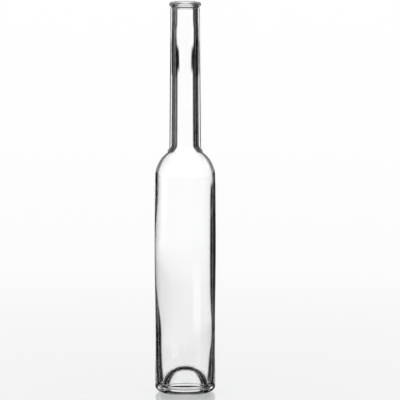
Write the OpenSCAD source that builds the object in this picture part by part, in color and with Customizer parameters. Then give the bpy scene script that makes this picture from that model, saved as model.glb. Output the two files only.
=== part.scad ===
// A tall slim clear-glass bottle with a long straight neck, as blown in a mould: one piece of glass.
// The glass is a single wall turned about +Z. Its section is drawn as an outside line and an inside line,
// each from its own sizes, so the wall is thick in the neck, thin in the body and thick again in the base.
// Origin: centre of the ring it stands on, with the tips of the knurls at z = 0. Millimetres.

/* [Overall] */
// Height from the table to the sealing face of the rim
height = 353; // [325:1:385]

/* [Finish] */
// Diameter of the round bead at the mouth
bead_d = 28.6; // [27.8:0.1:32]
// Height of the bead
bead_h = 4.5; // [3.5:0.1:5]
// Radius of the hollow under the bead
cove_r = 0.9; // [0.6:0.1:1.4]
// How far that hollow bites into the neck
cove_depth = 0.5; // [0.2:0.1:0.6]
// Bore that takes the cork
cork_bore_d = 18.5; // [16:0.1:20]
// Straight length of the cork's seat below the lip
cork_seat = 14; // [8:0.5:20]
// Rounding of the lip into the bore
lip_r = 1.2; // [0.6:0.1:1.5]

/* [Neck] */
// Outside of the neck just under the finish
neck_top_d = 26.5; // [26:0.1:28.4]
// Outside of the neck at its foot, above the shoulder
neck_foot_d = 28.4; // [27:0.1:31]
// Bore of the neck
neck_bore_d = 18.5; // [16:0.1:20]
// Wider bore under the finish, where the blow stretches the glass
neck_swell_d = 20; // [19:0.1:21.5]
// How far below the cork's seat the bore is widest
neck_swell_drop = 12; // [8:0.5:18]
// Outer radius of the hollow where the neck runs into the shoulder
neck_foot_r = 6.8; // [5:0.1:9]
// Inner radius at the same place
throat_r = 10; // [8:0.1:14]

/* [Shoulder] */
// Height of the line where the shoulder starts to curve in
shoulder_z = 196; // [180:1:212]
// Radius of the shoulder's curve
shoulder_r = 28.5; // [26:0.1:31]
// Wall of the shoulder
shoulder_wall = 2.9; // [2:0.1:3.4]

/* [Body] */
// Diameter at the shoulder line
body_d = 54.8; // [52:0.1:58]
// Diameter at the fullest part of the body
full_d = 55.4; // [53:0.1:59]
// Height of the fullest part
full_z = 135; // [115:1:155]
// Diameter at the slight waist above the base
waist_d = 53.7; // [51:0.1:56]
// Height of the waist
waist_z = 42; // [34:1:60]
// Wall at the fullest part
full_wall = 2.8; // [2:0.1:3.4]
// Wall at the waist
waist_wall = 3.1; // [2.2:0.1:3.6]

/* [Base] */
// Diameter at the top of the heel
heel_d = 54.2; // [52:0.1:57]
// Height at which the body's side starts, above the heel's curve
heel_z = 9; // [7:0.5:14]
// Radius of the heel's outer curve
heel_r = 5; // [4:0.1:6]
// Wall above the heel
heel_wall = 3.3; // [2.6:0.1:3.8]
// Width of the hollow pushed up into the base, the punt
punt_d = 34.6; // [30:0.1:36]
// Height of the punt's top above the table
punt_h = 20.5; // [14:0.5:24]
// Glass over the top of the punt
punt_top_wall = 4.2; // [3:0.1:6]
// Glass at the side of the punt
punt_side_wall = 3.2; // [2.4:0.1:3.6]
// Glass between the table and the lowest point inside
floor_wall = 5.2; // [4:0.1:6.5]

/* [Knurled ring] */
// Number of knurls round the ring it stands on
knurls = 90; // [60:1:100]
// How far the knurls stand out
knurl_h = 0.4; // [0.2:0.05:0.6]
// Flat on the tip of a knurl, along the radius
knurl_flat = 1.8; // [1.2:0.1:2.4]
// Length of a knurl where it meets the ring
knurl_root = 4.6; // [3.6:0.1:5]
// Share of the pitch that a knurl fills
knurl_fill = 0.5; // [0.35:0.05:0.6]

/* [Hidden] */

// Lines in each arc or swell of the section, and sides of the turned form
arc_steps = 12;
swell_steps = 8;
turn_fn = 180;

// Centre lines of the rounded rings in the section
bead_r = bead_h / 2;
bead_c = [bead_d / 2 - bead_r, height - bead_r];
bore_r = cork_bore_d / 2;
heel_c = [heel_d / 2 - heel_r, knurl_h + heel_r];
foot_c = [heel_c.x, knurl_h + heel_c.x - punt_d / 2];

// Heights inside the neck
seat_end_z = height - lip_r - cork_seat;
swell_z = seat_end_z - neck_swell_drop;
neck_bore_z = swell_z - neck_swell_drop;

// Shoulder, outside and inside, with the hollows that join it to the neck
shoulder_c = [body_d / 2 - shoulder_r, shoulder_z];
throat_wall_r = shoulder_r - shoulder_wall;
neck_foot_c = touching(shoulder_c, shoulder_r, neck_foot_d / 2 + neck_foot_r, neck_foot_r, 1);
throat_c = touching(shoulder_c, throat_wall_r, neck_bore_d / 2 + throat_r, throat_r, 1);

// Hollow under the bead, tangent to the bead
cove_c = touching(bead_c, bead_r, neck_top_d / 2 - cove_depth + cove_r, cove_r, -1);
cove_end = acos((cove_r - cove_depth) / cove_r);

// Inside of the base: a dome over the punt and a round channel between it and the wall
channel_r = (heel_d / 2 - heel_wall - punt_d / 2 - punt_side_wall) / 2;
channel_c = [heel_d / 2 - heel_wall - channel_r, floor_wall + channel_r];

// Point at an angle on a circle
function on_circle(centre, radius, angle) = centre + radius * [cos(angle), sin(angle)];

// Arc from one angle to another
function arc(centre, radius, from, to) =
    [for (i = [0:arc_steps]) on_circle(centre, radius, from + (to - from) * i / arc_steps)];

// Quarter of an upright ellipse about the axis, from its side up to its top
function dome(half_width, base_z, top_z) = [
    for (i = [0:arc_steps])
        let (angle = 90 * i / arc_steps)
            [half_width * cos(angle), base_z + (top_z - base_z) * sin(angle)]
];

// Smooth change of radius from one height to another, level with the axis at both ends
function swell(r0, z0, r1, z1) = [
    for (i = [0:swell_steps])
        let (angle = 180 * i / swell_steps)
            [r0 + (r1 - r0) * (1 - cos(angle)) / 2, z0 + (z1 - z0) * i / swell_steps]
];

// Centre of a circle of radius r at distance x from the axis, touching another circle from outside.
// It lies above the other circle where side is 1, and below it where side is -1
function touching(centre, radius, x, r, side) =
    [x, centre.y + side * sqrt((radius + r) ^ 2 - (x - centre.x) ^ 2)];

// Direction from one point to another
function heading(from, to) = atan2(to.y - from.y, to.x - from.x);

// List in the opposite order
function reversed(list) = [for (i = [len(list) - 1:-1:0]) list[i]];

// Underside, from the top of the punt out to the standing ring and round the heel
underside = concat(
    reversed(dome(punt_d / 2, foot_c.y, punt_h)),
    arc(foot_c, heel_c.x - punt_d / 2, 180, 270),
    arc(heel_c, heel_r, -90, 0)
);

// Side of the body, from the heel to the shoulder line
side = concat(
    swell(heel_d / 2, heel_z, waist_d / 2, waist_z),
    swell(waist_d / 2, waist_z, full_d / 2, full_z),
    swell(full_d / 2, full_z, body_d / 2, shoulder_z)
);

// Shoulder, neck and bead, up to the sealing face
outside_top = concat(
    arc(shoulder_c, shoulder_r, 0, heading(shoulder_c, neck_foot_c)),
    arc(neck_foot_c, neck_foot_r, 180 + heading(shoulder_c, neck_foot_c), 180),
    arc(cove_c, cove_r, 180 + cove_end, heading(cove_c, bead_c)),
    arc(bead_c, bead_r, heading(bead_c, cove_c), 90)
);

// Bore, from the lip down through the neck and the shoulder
inside_top = concat(
    arc([bore_r + lip_r, height - lip_r], lip_r, 90, 180),
    swell(bore_r, seat_end_z, neck_swell_d / 2, swell_z),
    swell(neck_swell_d / 2, swell_z, neck_bore_d / 2, neck_bore_z),
    arc(throat_c, throat_r, 180, 180 + heading(shoulder_c, throat_c)),
    arc(shoulder_c, throat_wall_r, heading(shoulder_c, throat_c), 0)
);

// Inside of the body, from the shoulder down to the wall above the heel
inside_body = concat(
    swell(body_d / 2 - shoulder_wall, shoulder_z, full_d / 2 - full_wall, full_z),
    swell(full_d / 2 - full_wall, full_z, waist_d / 2 - waist_wall, waist_z),
    swell(waist_d / 2 - waist_wall, waist_z, channel_c.x + channel_r, channel_c.y)
);

// Channel round the foot of the dome, then the dome itself up to the axis
inside_base = concat(
    arc(channel_c, channel_r, 0, -180),
    dome(channel_c.x - channel_r, channel_c.y, punt_h + punt_top_wall)
);

// Volume in ml of the slice between two points of a line of the section turned about the axis
function slice_ml(a, b) = PI / 3000 * (a.y - b.y) * (a.x ^ 2 + a.x * b.x + b.x ^ 2);

// Volume in ml inside the whole line, from its top point down to its last
function turned_ml(line, i = 1) =
    i < len(line) ? slice_ml(line[i - 1], line[i]) + turned_ml(line, i + 1) : 0;

echo(brimful_ml = turned_ml(concat(inside_top, inside_body, inside_base)));

module glass_wall() {
    rotate_extrude($fn = turn_fn)
        polygon(concat(underside, side, outside_top, inside_top, inside_body, inside_base));
}

// One knurl: a short radial bar with a flat tip, rooted in the standing ring
module knurl() {
    tip = knurl_flat / 2;
    root = knurl_root / 2;
    turn = 360 / knurls * knurl_fill;
    rotate([0, 0, -turn / 2])
        rotate_extrude(angle = turn, $fn = turn_fn)
            translate([heel_c.x, 0])
                polygon([[-tip, 0], [tip, 0], [root, root - tip], [-root, root - tip]]);
}

module bottle() {
    color([0.86, 0.9, 0.92, 0.35])
        union() {
            glass_wall();
            for (i = [0:knurls - 1])
                rotate([0, 0, 360 * i / knurls - 90])
                    knurl();
        }
}

bottle();
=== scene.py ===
import math

import bmesh
import bpy
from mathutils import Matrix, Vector


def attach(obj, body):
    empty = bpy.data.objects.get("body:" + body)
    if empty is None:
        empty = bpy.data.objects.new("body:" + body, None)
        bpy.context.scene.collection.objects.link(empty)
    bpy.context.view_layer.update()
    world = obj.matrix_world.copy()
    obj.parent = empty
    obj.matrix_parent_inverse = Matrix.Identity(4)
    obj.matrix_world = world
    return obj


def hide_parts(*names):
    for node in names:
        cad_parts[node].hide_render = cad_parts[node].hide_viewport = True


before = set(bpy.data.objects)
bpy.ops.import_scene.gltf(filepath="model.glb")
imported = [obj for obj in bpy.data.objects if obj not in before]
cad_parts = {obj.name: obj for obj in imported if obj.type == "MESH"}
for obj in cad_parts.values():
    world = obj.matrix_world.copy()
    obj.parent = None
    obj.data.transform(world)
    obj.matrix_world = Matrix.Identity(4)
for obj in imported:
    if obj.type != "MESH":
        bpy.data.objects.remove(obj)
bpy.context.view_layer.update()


# Camera: a long lens, a little above the bottle and looking slightly down on it, as in the photograph.
# The axis of the bottle stands left of the middle of the picture.
CAMERA_AWAY = 4.41
CAMERA_HEIGHT = 0.715
AIM = Vector((0.0133, 0.0, 0.1741))
LENS_MM = 444.3
SENSOR_MM = 36.0
FARTHEST_SEEN = 100.0
camera = bpy.data.objects.new("camera", bpy.data.cameras.new("camera"))
bpy.context.scene.collection.objects.link(camera)
camera.location = (0.0, -CAMERA_AWAY, CAMERA_HEIGHT)
camera.rotation_euler = (AIM - camera.location).to_track_quat("-Z", "Y").to_euler()
camera.data.lens = LENS_MM
camera.data.sensor_width = SENSOR_MM
camera.data.clip_end = FARTHEST_SEEN
bpy.context.scene.camera = camera
bpy.context.scene.view_settings.view_transform = "Standard"


# Studio: an even white room, for whatever is matt and for what the glass mirrors from above. Clear glass
# is drawn by what shows through it: a pale window between dark cards and dark grey walls, under a dark
# ceiling. Each height of view has a window of its own, and a view from far above has a pale table.

# An edge is the cosine of the angle from the middle of a window. A height is the sine of a ray's slope.
# The last number of a row is the direction of its window, in degrees from the photograph's.
WINDOW_EDGE = (0.946, 0.979)
NARROW_EDGE = (0.983, 0.9925)
CARD_EDGE = (0.40, 0.54)
CARD = 0.004
WALL = 0.016
WHITE = 1.0
TABLE = 0.70
BODY_ROW = (-0.205, -0.124, 0)
WINDOW_ROWS = ((-0.110, 0.05, 90), (-0.372, -0.165, 225), (-0.372, -0.29, 45))
STEEP_ROW = (-0.53, -0.372, 45)
ROW_FADE = 0.01
TABLE_FROM = -0.76
TABLE_FADE = 0.04
HORIZON_FADE = 0.02
CEILING = 0.25
CEILING_FADE = 0.05
ROOM_BY_HEIGHT = (
    (-1.0, 0.92),
    (-0.22, 0.92),
    (-0.19, 0.84),
    (-0.155, 0.80),
    (-0.142, 0.90),
    (-0.125, 0.96),
    (-0.09, 0.97),
    (0.5, 0.92),
)
BRIGHTEST = 1.2
ABOVE_ZERO = 1e-6


def link(tree, value, socket):
    if isinstance(value, (int, float)):
        socket.default_value = value
    else:
        tree.links.new(value, socket)


def maths(tree, operation, first, second=0.0):
    node = tree.nodes.new("ShaderNodeMath")
    node.operation = operation
    link(tree, first, node.inputs[0])
    link(tree, second, node.inputs[1])
    return node.outputs[0]


def between(tree, value, low, high, to_low=0.0, to_high=1.0):
    node = tree.nodes.new("ShaderNodeMapRange")
    node.interpolation_type = "SMOOTHSTEP"
    link(tree, value, node.inputs["Value"])
    node.inputs["From Min"].default_value = low
    node.inputs["From Max"].default_value = high
    node.inputs["To Min"].default_value = to_low
    node.inputs["To Max"].default_value = to_high
    return node.outputs["Result"]


def blend(tree, share, first, second):
    node = tree.nodes.new("ShaderNodeMix")
    link(tree, share, node.inputs["Factor"])
    link(tree, first, node.inputs["A"])
    link(tree, second, node.inputs["B"])
    return node.outputs["Result"]


def grey_by(tree, value, levels, lowest, highest):
    span = highest - lowest
    node = tree.nodes.new("ShaderNodeValToRGB")
    share = maths(tree, "DIVIDE", maths(tree, "SUBTRACT", value, lowest), span)
    link(tree, share, node.inputs[0])
    stops = node.color_ramp.elements
    while len(stops) < len(levels):
        stops.new(0.5)
    for stop, (at, level) in zip(stops, levels):
        stop.position = (at - lowest) / span
        stop.color = (level, level, level, 1.0)
    return node.outputs[0]


world = bpy.data.worlds.new("studio")
bpy.context.scene.world = world
world.use_nodes = True
room = world.node_tree
room.nodes.clear()
way = room.nodes.new("ShaderNodeSeparateXYZ")
room.links.new(room.nodes.new("ShaderNodeTexCoord").outputs["Generated"], way.inputs[0])
across, along, up = way.outputs
across_2 = maths(room, "MULTIPLY", across, across)
along_2 = maths(room, "MULTIPLY", along, along)
flat_2 = maths(room, "ADD", maths(room, "ADD", across_2, along_2), ABOVE_ZERO)
flat = maths(room, "SQRT", flat_2)
bright = maths(room, "MULTIPLY", grey_by(room, up, ROOM_BY_HEIGHT, -1.0, 1.0), BRIGHTEST)


def window_along(azimuth, edge=WINDOW_EDGE):
    turn = math.radians(azimuth)
    part_along = maths(room, "MULTIPLY", along, math.cos(turn))
    part_across = maths(room, "MULTIPLY", across, math.sin(turn))
    ahead = maths(room, "DIVIDE", maths(room, "SUBTRACT", part_along, part_across), flat)
    lit = maths(room, "MULTIPLY", between(room, ahead, *edge), bright)
    wall = between(room, ahead, *CARD_EDGE, WALL, CARD)
    return maths(room, "MAXIMUM", lit, wall)


def in_row(lowest, highest):
    above = between(room, up, lowest - ROW_FADE, lowest)
    below = between(room, up, highest, highest + ROW_FADE, 1.0, 0.0)
    return maths(room, "MULTIPLY", above, below)


lowest, highest, azimuth = BODY_ROW
seen = blend(room, in_row(lowest, highest), window_along(azimuth), window_along(azimuth, NARROW_EDGE))
for lowest, highest, azimuth in WINDOW_ROWS:
    window = maths(room, "MULTIPLY", in_row(lowest, highest), window_along(azimuth))
    seen = maths(room, "MAXIMUM", seen, window)
lowest, highest, azimuth = STEEP_ROW
seen = blend(room, in_row(lowest, highest), seen, window_along(azimuth))
seen = blend(room, between(room, up, TABLE_FROM - TABLE_FADE, TABLE_FROM + TABLE_FADE), TABLE, seen)
through = blend(room, between(room, up, CEILING - CEILING_FADE, CEILING + CEILING_FADE), seen, CARD)
mirrored = blend(room, between(room, up, -HORIZON_FADE, 0.0), seen, WHITE)
rays = room.nodes.new("ShaderNodeLightPath").outputs
glass_light = blend(room, rays["Is Transmission Ray"], mirrored, through)
in_glass = maths(room, "MAXIMUM", rays["Is Glossy Ray"], rays["Is Transmission Ray"])
light = blend(room, in_glass, WHITE, glass_light)
sky = room.nodes.new("ShaderNodeBackground")
room.links.new(light, sky.inputs["Strength"])
sky.inputs["Color"].default_value = (1.0, 1.0, 1.0, 1.0)
room.links.new(sky.outputs[0], room.nodes.new("ShaderNodeOutputWorld").inputs["Surface"])


# Floor: the smooth white sweep that the bottle stands on. Its colour is greyer round the bottle than far
# behind: painted shade for the floor being less brightly lit near the bottle.
# It shines faintly and takes the bottle's shadow. Through the glass shows the studio, and not the floor.
FLOOR_RADIUS = 7.5
FLOOR_SIDES = 128
FLOOR_PAINTED_SHADE_BY_DISTANCE = ((0.0, 0.86), (0.12, 0.84), (0.4, 0.86), (0.8, 0.93), (2.2, 0.985))
FLOOR_ROUGHNESS = 0.09
FLOOR_IOR = 1.45
floor_mesh = bmesh.new()
bmesh.ops.create_circle(floor_mesh, cap_ends=True, segments=FLOOR_SIDES, radius=FLOOR_RADIUS)
floor = bpy.data.objects.new("floor", bpy.data.meshes.new("floor"))
floor_mesh.to_mesh(floor.data)
floor_mesh.free()
bpy.context.scene.collection.objects.link(floor)
floor.visible_transmission = False
floor.visible_glossy = False

sweep = bpy.data.materials.new("white_sweep")
sweep.use_nodes = True
tree = sweep.node_tree
surface = tree.nodes["Principled BSDF"]
away = tree.nodes.new("ShaderNodeVectorMath")
away.operation = "LENGTH"
tree.links.new(tree.nodes.new("ShaderNodeTexCoord").outputs["Object"], away.inputs[0])
# Painted shade: the floor's colour is darker near the bottle and lighter far off, for how light falls on
# it.
painted_floor_shade = grey_by(tree, away.outputs["Value"], FLOOR_PAINTED_SHADE_BY_DISTANCE, 0.0, FLOOR_PAINTED_SHADE_BY_DISTANCE[-1][0])
tree.links.new(painted_floor_shade, surface.inputs["Base Color"])
surface.inputs["Roughness"].default_value = FLOOR_ROUGHNESS
surface.inputs["IOR"].default_value = FLOOR_IOR
floor.data.materials.append(sweep)


# Bottle: one gob of clear flint glass, blown in a mould, with a deep punt pushed up into its base and a
# ring of knurls to stand on. The outside took the mould's shape. The inside is free: the wall is thick in
# the neck and over the punt, thin in the body, and uneven round it.
HEIGHT = 0.353
BEAD_R = 0.0143
BEAD_HALF = 0.00225
COVE_R = 0.0009
COVE_DEPTH = 0.0005
BORE_R = 0.00925
CORK_SEAT = 0.014
LIP_R = 0.0012
NECK_TOP_R = 0.01325
NECK_FOOT_R = 0.0142
NECK_SWELL_R = 0.0098
NECK_FOOT_BORE_R = 0.0096
NECK_SWELL_DROP = 0.012
NECK_SWELL_TAIL = 0.044
FOOT_HOLLOW = 0.0068
THROAT_HOLLOW = 0.010
SHOULDER_Z = 0.196
SHOULDER_R = 0.0285
SHOULDER_WALL = 0.0029
BODY_R = 0.0274
FULL_R = 0.02769
FULL_Z = 0.135
WAIST_R = 0.02685
WAIST_Z = 0.042
FULL_WALL = 0.0028
WAIST_WALL = 0.0031
HEEL_R = 0.0271
HEEL_Z = 0.009
HEEL_ROUND = 0.005
HEEL_WALL = 0.0033
PUNT_R = 0.0173
PUNT_H = 0.0205
PUNT_TOP_WALL = 0.0042
PUNT_SIDE_WALL = 0.0032
FLOOR_WALL = 0.0052
KNURLS = 90
KNURL_H = 0.0004
KNURL_TIP = 0.0009
KNURL_ROOT = 0.0023
KNURL_BELOW = 0.002
KNURL_TURN = 90.25
KNURL_FILL = 0.5
STEPS_ROUND = 360
ARC_STEPS = 11
SWELL_STEPS = 8
SAME_POINT = 1e-6
SHARP_FROM = 28
AREA_WEIGHT = 100

# Where the blow left the wall thicker or thinner. Each patch has its height, its side in degrees from +X,
# its reach up and down, its reach round in degrees, and how much thicker the wall is in its middle
WALL_PATCHES = (
    (0.100, 0, 0.110, 50, -0.0006),
    (0.125, 0, 0.040, 45, 0.0003),
    (0.192, 0, 0.014, 40, -0.0002),
    (0.056, 0, 0.016, 45, -0.0005),
    (0.120, 180, 0.090, 50, -0.0010),
    (0.120, 180, 0.024, 40, -0.0009),
    (0.060, 180, 0.016, 45, 0.0003),
    (0.178, 180, 0.018, 45, 0.0002),
    (0.150, 90, 0.040, 40, 0.0005),
    (0.080, 250, 0.035, 40, 0.0004),
)
UNEVEN_TO_Z = 0.222
UNEVEN_FROM_R = 1.2 * BORE_R
FADE_AT_FOOT = 0.012
FADE_AT_TOP = 0.024

# The faint ripple of a blown surface runs up the bottle
GLASS_TINT = (0.994, 0.996, 0.996, 1.0)
GLASS_IOR = 1.52
SHADOW_TINT = (0.93, 0.94, 0.95, 1.0)
RIPPLE_STRETCH = (1.0, 1.0, 0.16)
RIPPLE_SCALE = 90.0
RIPPLE_DETAIL = 2.0
RIPPLE_STRENGTH = 0.05
RIPPLE_DEPTH = 0.0004


def on_circle(centre, radius, degrees):
    angle = math.radians(degrees)
    return (centre[0] + radius * math.cos(angle), centre[1] + radius * math.sin(angle))


def arc(centre, radius, start, end):
    return [on_circle(centre, radius, start + (end - start) * i / ARC_STEPS) for i in range(ARC_STEPS + 1)]


def dome(half_width, base, top):
    turns = [math.pi / 2 * i / ARC_STEPS for i in range(ARC_STEPS + 1)]
    return [(half_width * math.cos(turn), base + (top - base) * math.sin(turn)) for turn in turns]


def swell(r0, z0, r1, z1):
    shares = [i / SWELL_STEPS for i in range(SWELL_STEPS + 1)]
    return [(r0 + (r1 - r0) * (1 - math.cos(math.pi * s)) / 2, z0 + (z1 - z0) * s) for s in shares]


def touching(centre, radius, x, r, side):
    return (x, centre[1] + side * math.sqrt((radius + r) ** 2 - (x - centre[0]) ** 2))


def heading(start, end):
    return math.degrees(math.atan2(end[1] - start[1], end[0] - start[0]))


bead = (BEAD_R - BEAD_HALF, HEIGHT - BEAD_HALF)
heel = (HEEL_R - HEEL_ROUND, KNURL_H + HEEL_ROUND)
foot = (heel[0], KNURL_H + heel[0] - PUNT_R)
seat_end = HEIGHT - LIP_R - CORK_SEAT
swell_at = seat_end - NECK_SWELL_DROP
neck_bore_at = swell_at - NECK_SWELL_TAIL
shoulder = (BODY_R - SHOULDER_R, SHOULDER_Z)
throat_r = SHOULDER_R - SHOULDER_WALL
neck_foot = touching(shoulder, SHOULDER_R, NECK_FOOT_R + FOOT_HOLLOW, FOOT_HOLLOW, 1)
throat = touching(shoulder, throat_r, NECK_FOOT_BORE_R + THROAT_HOLLOW, THROAT_HOLLOW, 1)
cove = touching(bead, BEAD_HALF, NECK_TOP_R - COVE_DEPTH + COVE_R, COVE_R, -1)
cove_end = math.degrees(math.acos((COVE_R - COVE_DEPTH) / COVE_R))
channel_r = (HEEL_R - HEEL_WALL - PUNT_R - PUNT_SIDE_WALL) / 2
channel = (HEEL_R - HEEL_WALL - channel_r, FLOOR_WALL + channel_r)

outside = (
    dome(PUNT_R, foot[1], PUNT_H)[::-1]
    + arc(foot, foot[0] - PUNT_R, 180, 270)
    + arc(heel, HEEL_ROUND, -90, 0)
    + swell(HEEL_R, HEEL_Z, WAIST_R, WAIST_Z)
    + swell(WAIST_R, WAIST_Z, FULL_R, FULL_Z)
    + swell(FULL_R, FULL_Z, BODY_R, SHOULDER_Z)
    + arc(shoulder, SHOULDER_R, 0, heading(shoulder, neck_foot))
    + arc(neck_foot, FOOT_HOLLOW, 180 + heading(shoulder, neck_foot), 180)
    + arc(cove, COVE_R, 180 + cove_end, heading(cove, bead))
    + arc(bead, BEAD_HALF, heading(bead, cove), 90)
)
inside = (
    arc((BORE_R + LIP_R, HEIGHT - LIP_R), LIP_R, 90, 180)
    + swell(BORE_R, seat_end, NECK_SWELL_R, swell_at)
    + swell(NECK_SWELL_R, swell_at, BORE_R, neck_bore_at)
    + arc(throat, THROAT_HOLLOW, 180, 180 + heading(shoulder, throat))
    + arc(shoulder, throat_r, heading(shoulder, throat), 0)
    + swell(BODY_R - SHOULDER_WALL, SHOULDER_Z, FULL_R - FULL_WALL, FULL_Z)
    + swell(FULL_R - FULL_WALL, FULL_Z, WAIST_R - WAIST_WALL, WAIST_Z)
    + swell(WAIST_R - WAIST_WALL, WAIST_Z, channel[0] + channel_r, channel[1])
    + arc(channel, channel_r, 0, -180)
    + dome(channel[0] - channel_r, channel[1], PUNT_H + PUNT_TOP_WALL)
)

glass = bmesh.new()
inner = glass.verts.layers.int.new("inner")
line = []
for is_inner, points in enumerate((outside, inside)):
    for radius, height in points:
        here = Vector((max(radius, 0.0), 0.0, height))
        if not line or (line[-1].co - here).length > SAME_POINT:
            line.append(glass.verts.new(here))
            line[-1][inner] = is_inner
edges = [glass.edges.new(pair) for pair in zip(line, line[1:])]
bmesh.ops.spin(
    glass,
    geom=line + edges,
    axis=(0, 0, 1),
    cent=(0, 0, 0),
    angle=2 * math.pi,
    steps=STEPS_ROUND,
    use_merge=True,
)
bmesh.ops.remove_doubles(glass, verts=glass.verts, dist=2 * SAME_POINT)


def patch(height, side, at_height, at_side, reach_up, reach_round, amount):
    turn = (side - at_side + 180) % 360 - 180
    return amount * math.exp(-((height - at_height) / reach_up) ** 2 - (turn / reach_round) ** 2)


def thicker_at(height, side):
    fade = min(1.0, (height - channel[1]) / FADE_AT_FOOT, (UNEVEN_TO_Z - height) / FADE_AT_TOP)
    return fade * sum(patch(height, side, *values) for values in WALL_PATCHES)


def on_knurl(side, off_ring, height):
    share_of_pitch = (side + KNURL_TURN) % (360 / KNURLS) / (360 / KNURLS)
    return share_of_pitch < KNURL_FILL and off_ring < KNURL_ROOT and height < KNURL_BELOW


for corner in glass.verts:
    radius = math.hypot(corner.co.x, corner.co.y)
    side = math.degrees(math.atan2(corner.co.y, corner.co.x))
    off_ring = abs(radius - heel[0])
    if corner[inner] and radius > UNEVEN_FROM_R and channel[1] < corner.co.z < UNEVEN_TO_Z:
        narrower = 1 - thicker_at(corner.co.z, side) / radius
        corner.co.x *= narrower
        corner.co.y *= narrower
    if not corner[inner] and on_knurl(side, off_ring, corner.co.z):
        corner.co.z = min(corner.co.z, max(0.0, off_ring - KNURL_TIP))

bmesh.ops.recalc_face_normals(glass, faces=glass.faces)
for face in glass.faces:
    face.smooth = True
for edge in glass.edges:
    edge.smooth = edge.calc_face_angle(0.0) < math.radians(SHARP_FROM)
bottle = bpy.data.objects.new("glass_bottle", bpy.data.meshes.new("glass_bottle"))
glass.to_mesh(bottle.data)
glass.free()
bpy.context.scene.collection.objects.link(bottle)
even = bottle.modifiers.new("even_shading", "WEIGHTED_NORMAL")
even.mode = "FACE_AREA"
even.weight = AREA_WEIGHT
even.keep_sharp = True

clear_glass = bpy.data.materials.new("clear_glass")
clear_glass.use_nodes = True
tree = clear_glass.node_tree
surface = tree.nodes["Principled BSDF"]
surface.inputs["Base Color"].default_value = GLASS_TINT
surface.inputs["Transmission Weight"].default_value = 1.0
surface.inputs["Roughness"].default_value = 0.0
surface.inputs["IOR"].default_value = GLASS_IOR
stretch = tree.nodes.new("ShaderNodeMapping")
stretch.inputs["Scale"].default_value = RIPPLE_STRETCH
ripple = tree.nodes.new("ShaderNodeTexNoise")
ripple.inputs["Scale"].default_value = RIPPLE_SCALE
ripple.inputs["Detail"].default_value = RIPPLE_DETAIL
bump = tree.nodes.new("ShaderNodeBump")
bump.inputs["Strength"].default_value = RIPPLE_STRENGTH
bump.inputs["Distance"].default_value = RIPPLE_DEPTH
tree.links.new(tree.nodes.new("ShaderNodeTexCoord").outputs["Object"], stretch.inputs["Vector"])
tree.links.new(stretch.outputs[0], ripple.inputs["Vector"])
tree.links.new(ripple.outputs[0], bump.inputs["Height"])
tree.links.new(bump.outputs[0], surface.inputs["Normal"])
rays = tree.nodes.new("ShaderNodeLightPath").outputs
open_way = tree.nodes.new("ShaderNodeBsdfTransparent")
open_way.inputs["Color"].default_value = SHADOW_TINT
either = tree.nodes.new("ShaderNodeMixShader")
link(tree, maths(tree, "MAXIMUM", rays["Is Shadow Ray"], rays["Is Diffuse Ray"]), either.inputs[0])
tree.links.new(surface.outputs[0], either.inputs[1])
tree.links.new(open_way.outputs[0], either.inputs[2])
tree.links.new(either.outputs[0], tree.nodes["Material Output"].inputs["Surface"])
bottle.data.materials.append(clear_glass)
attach(bottle, "root")
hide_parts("bottle")
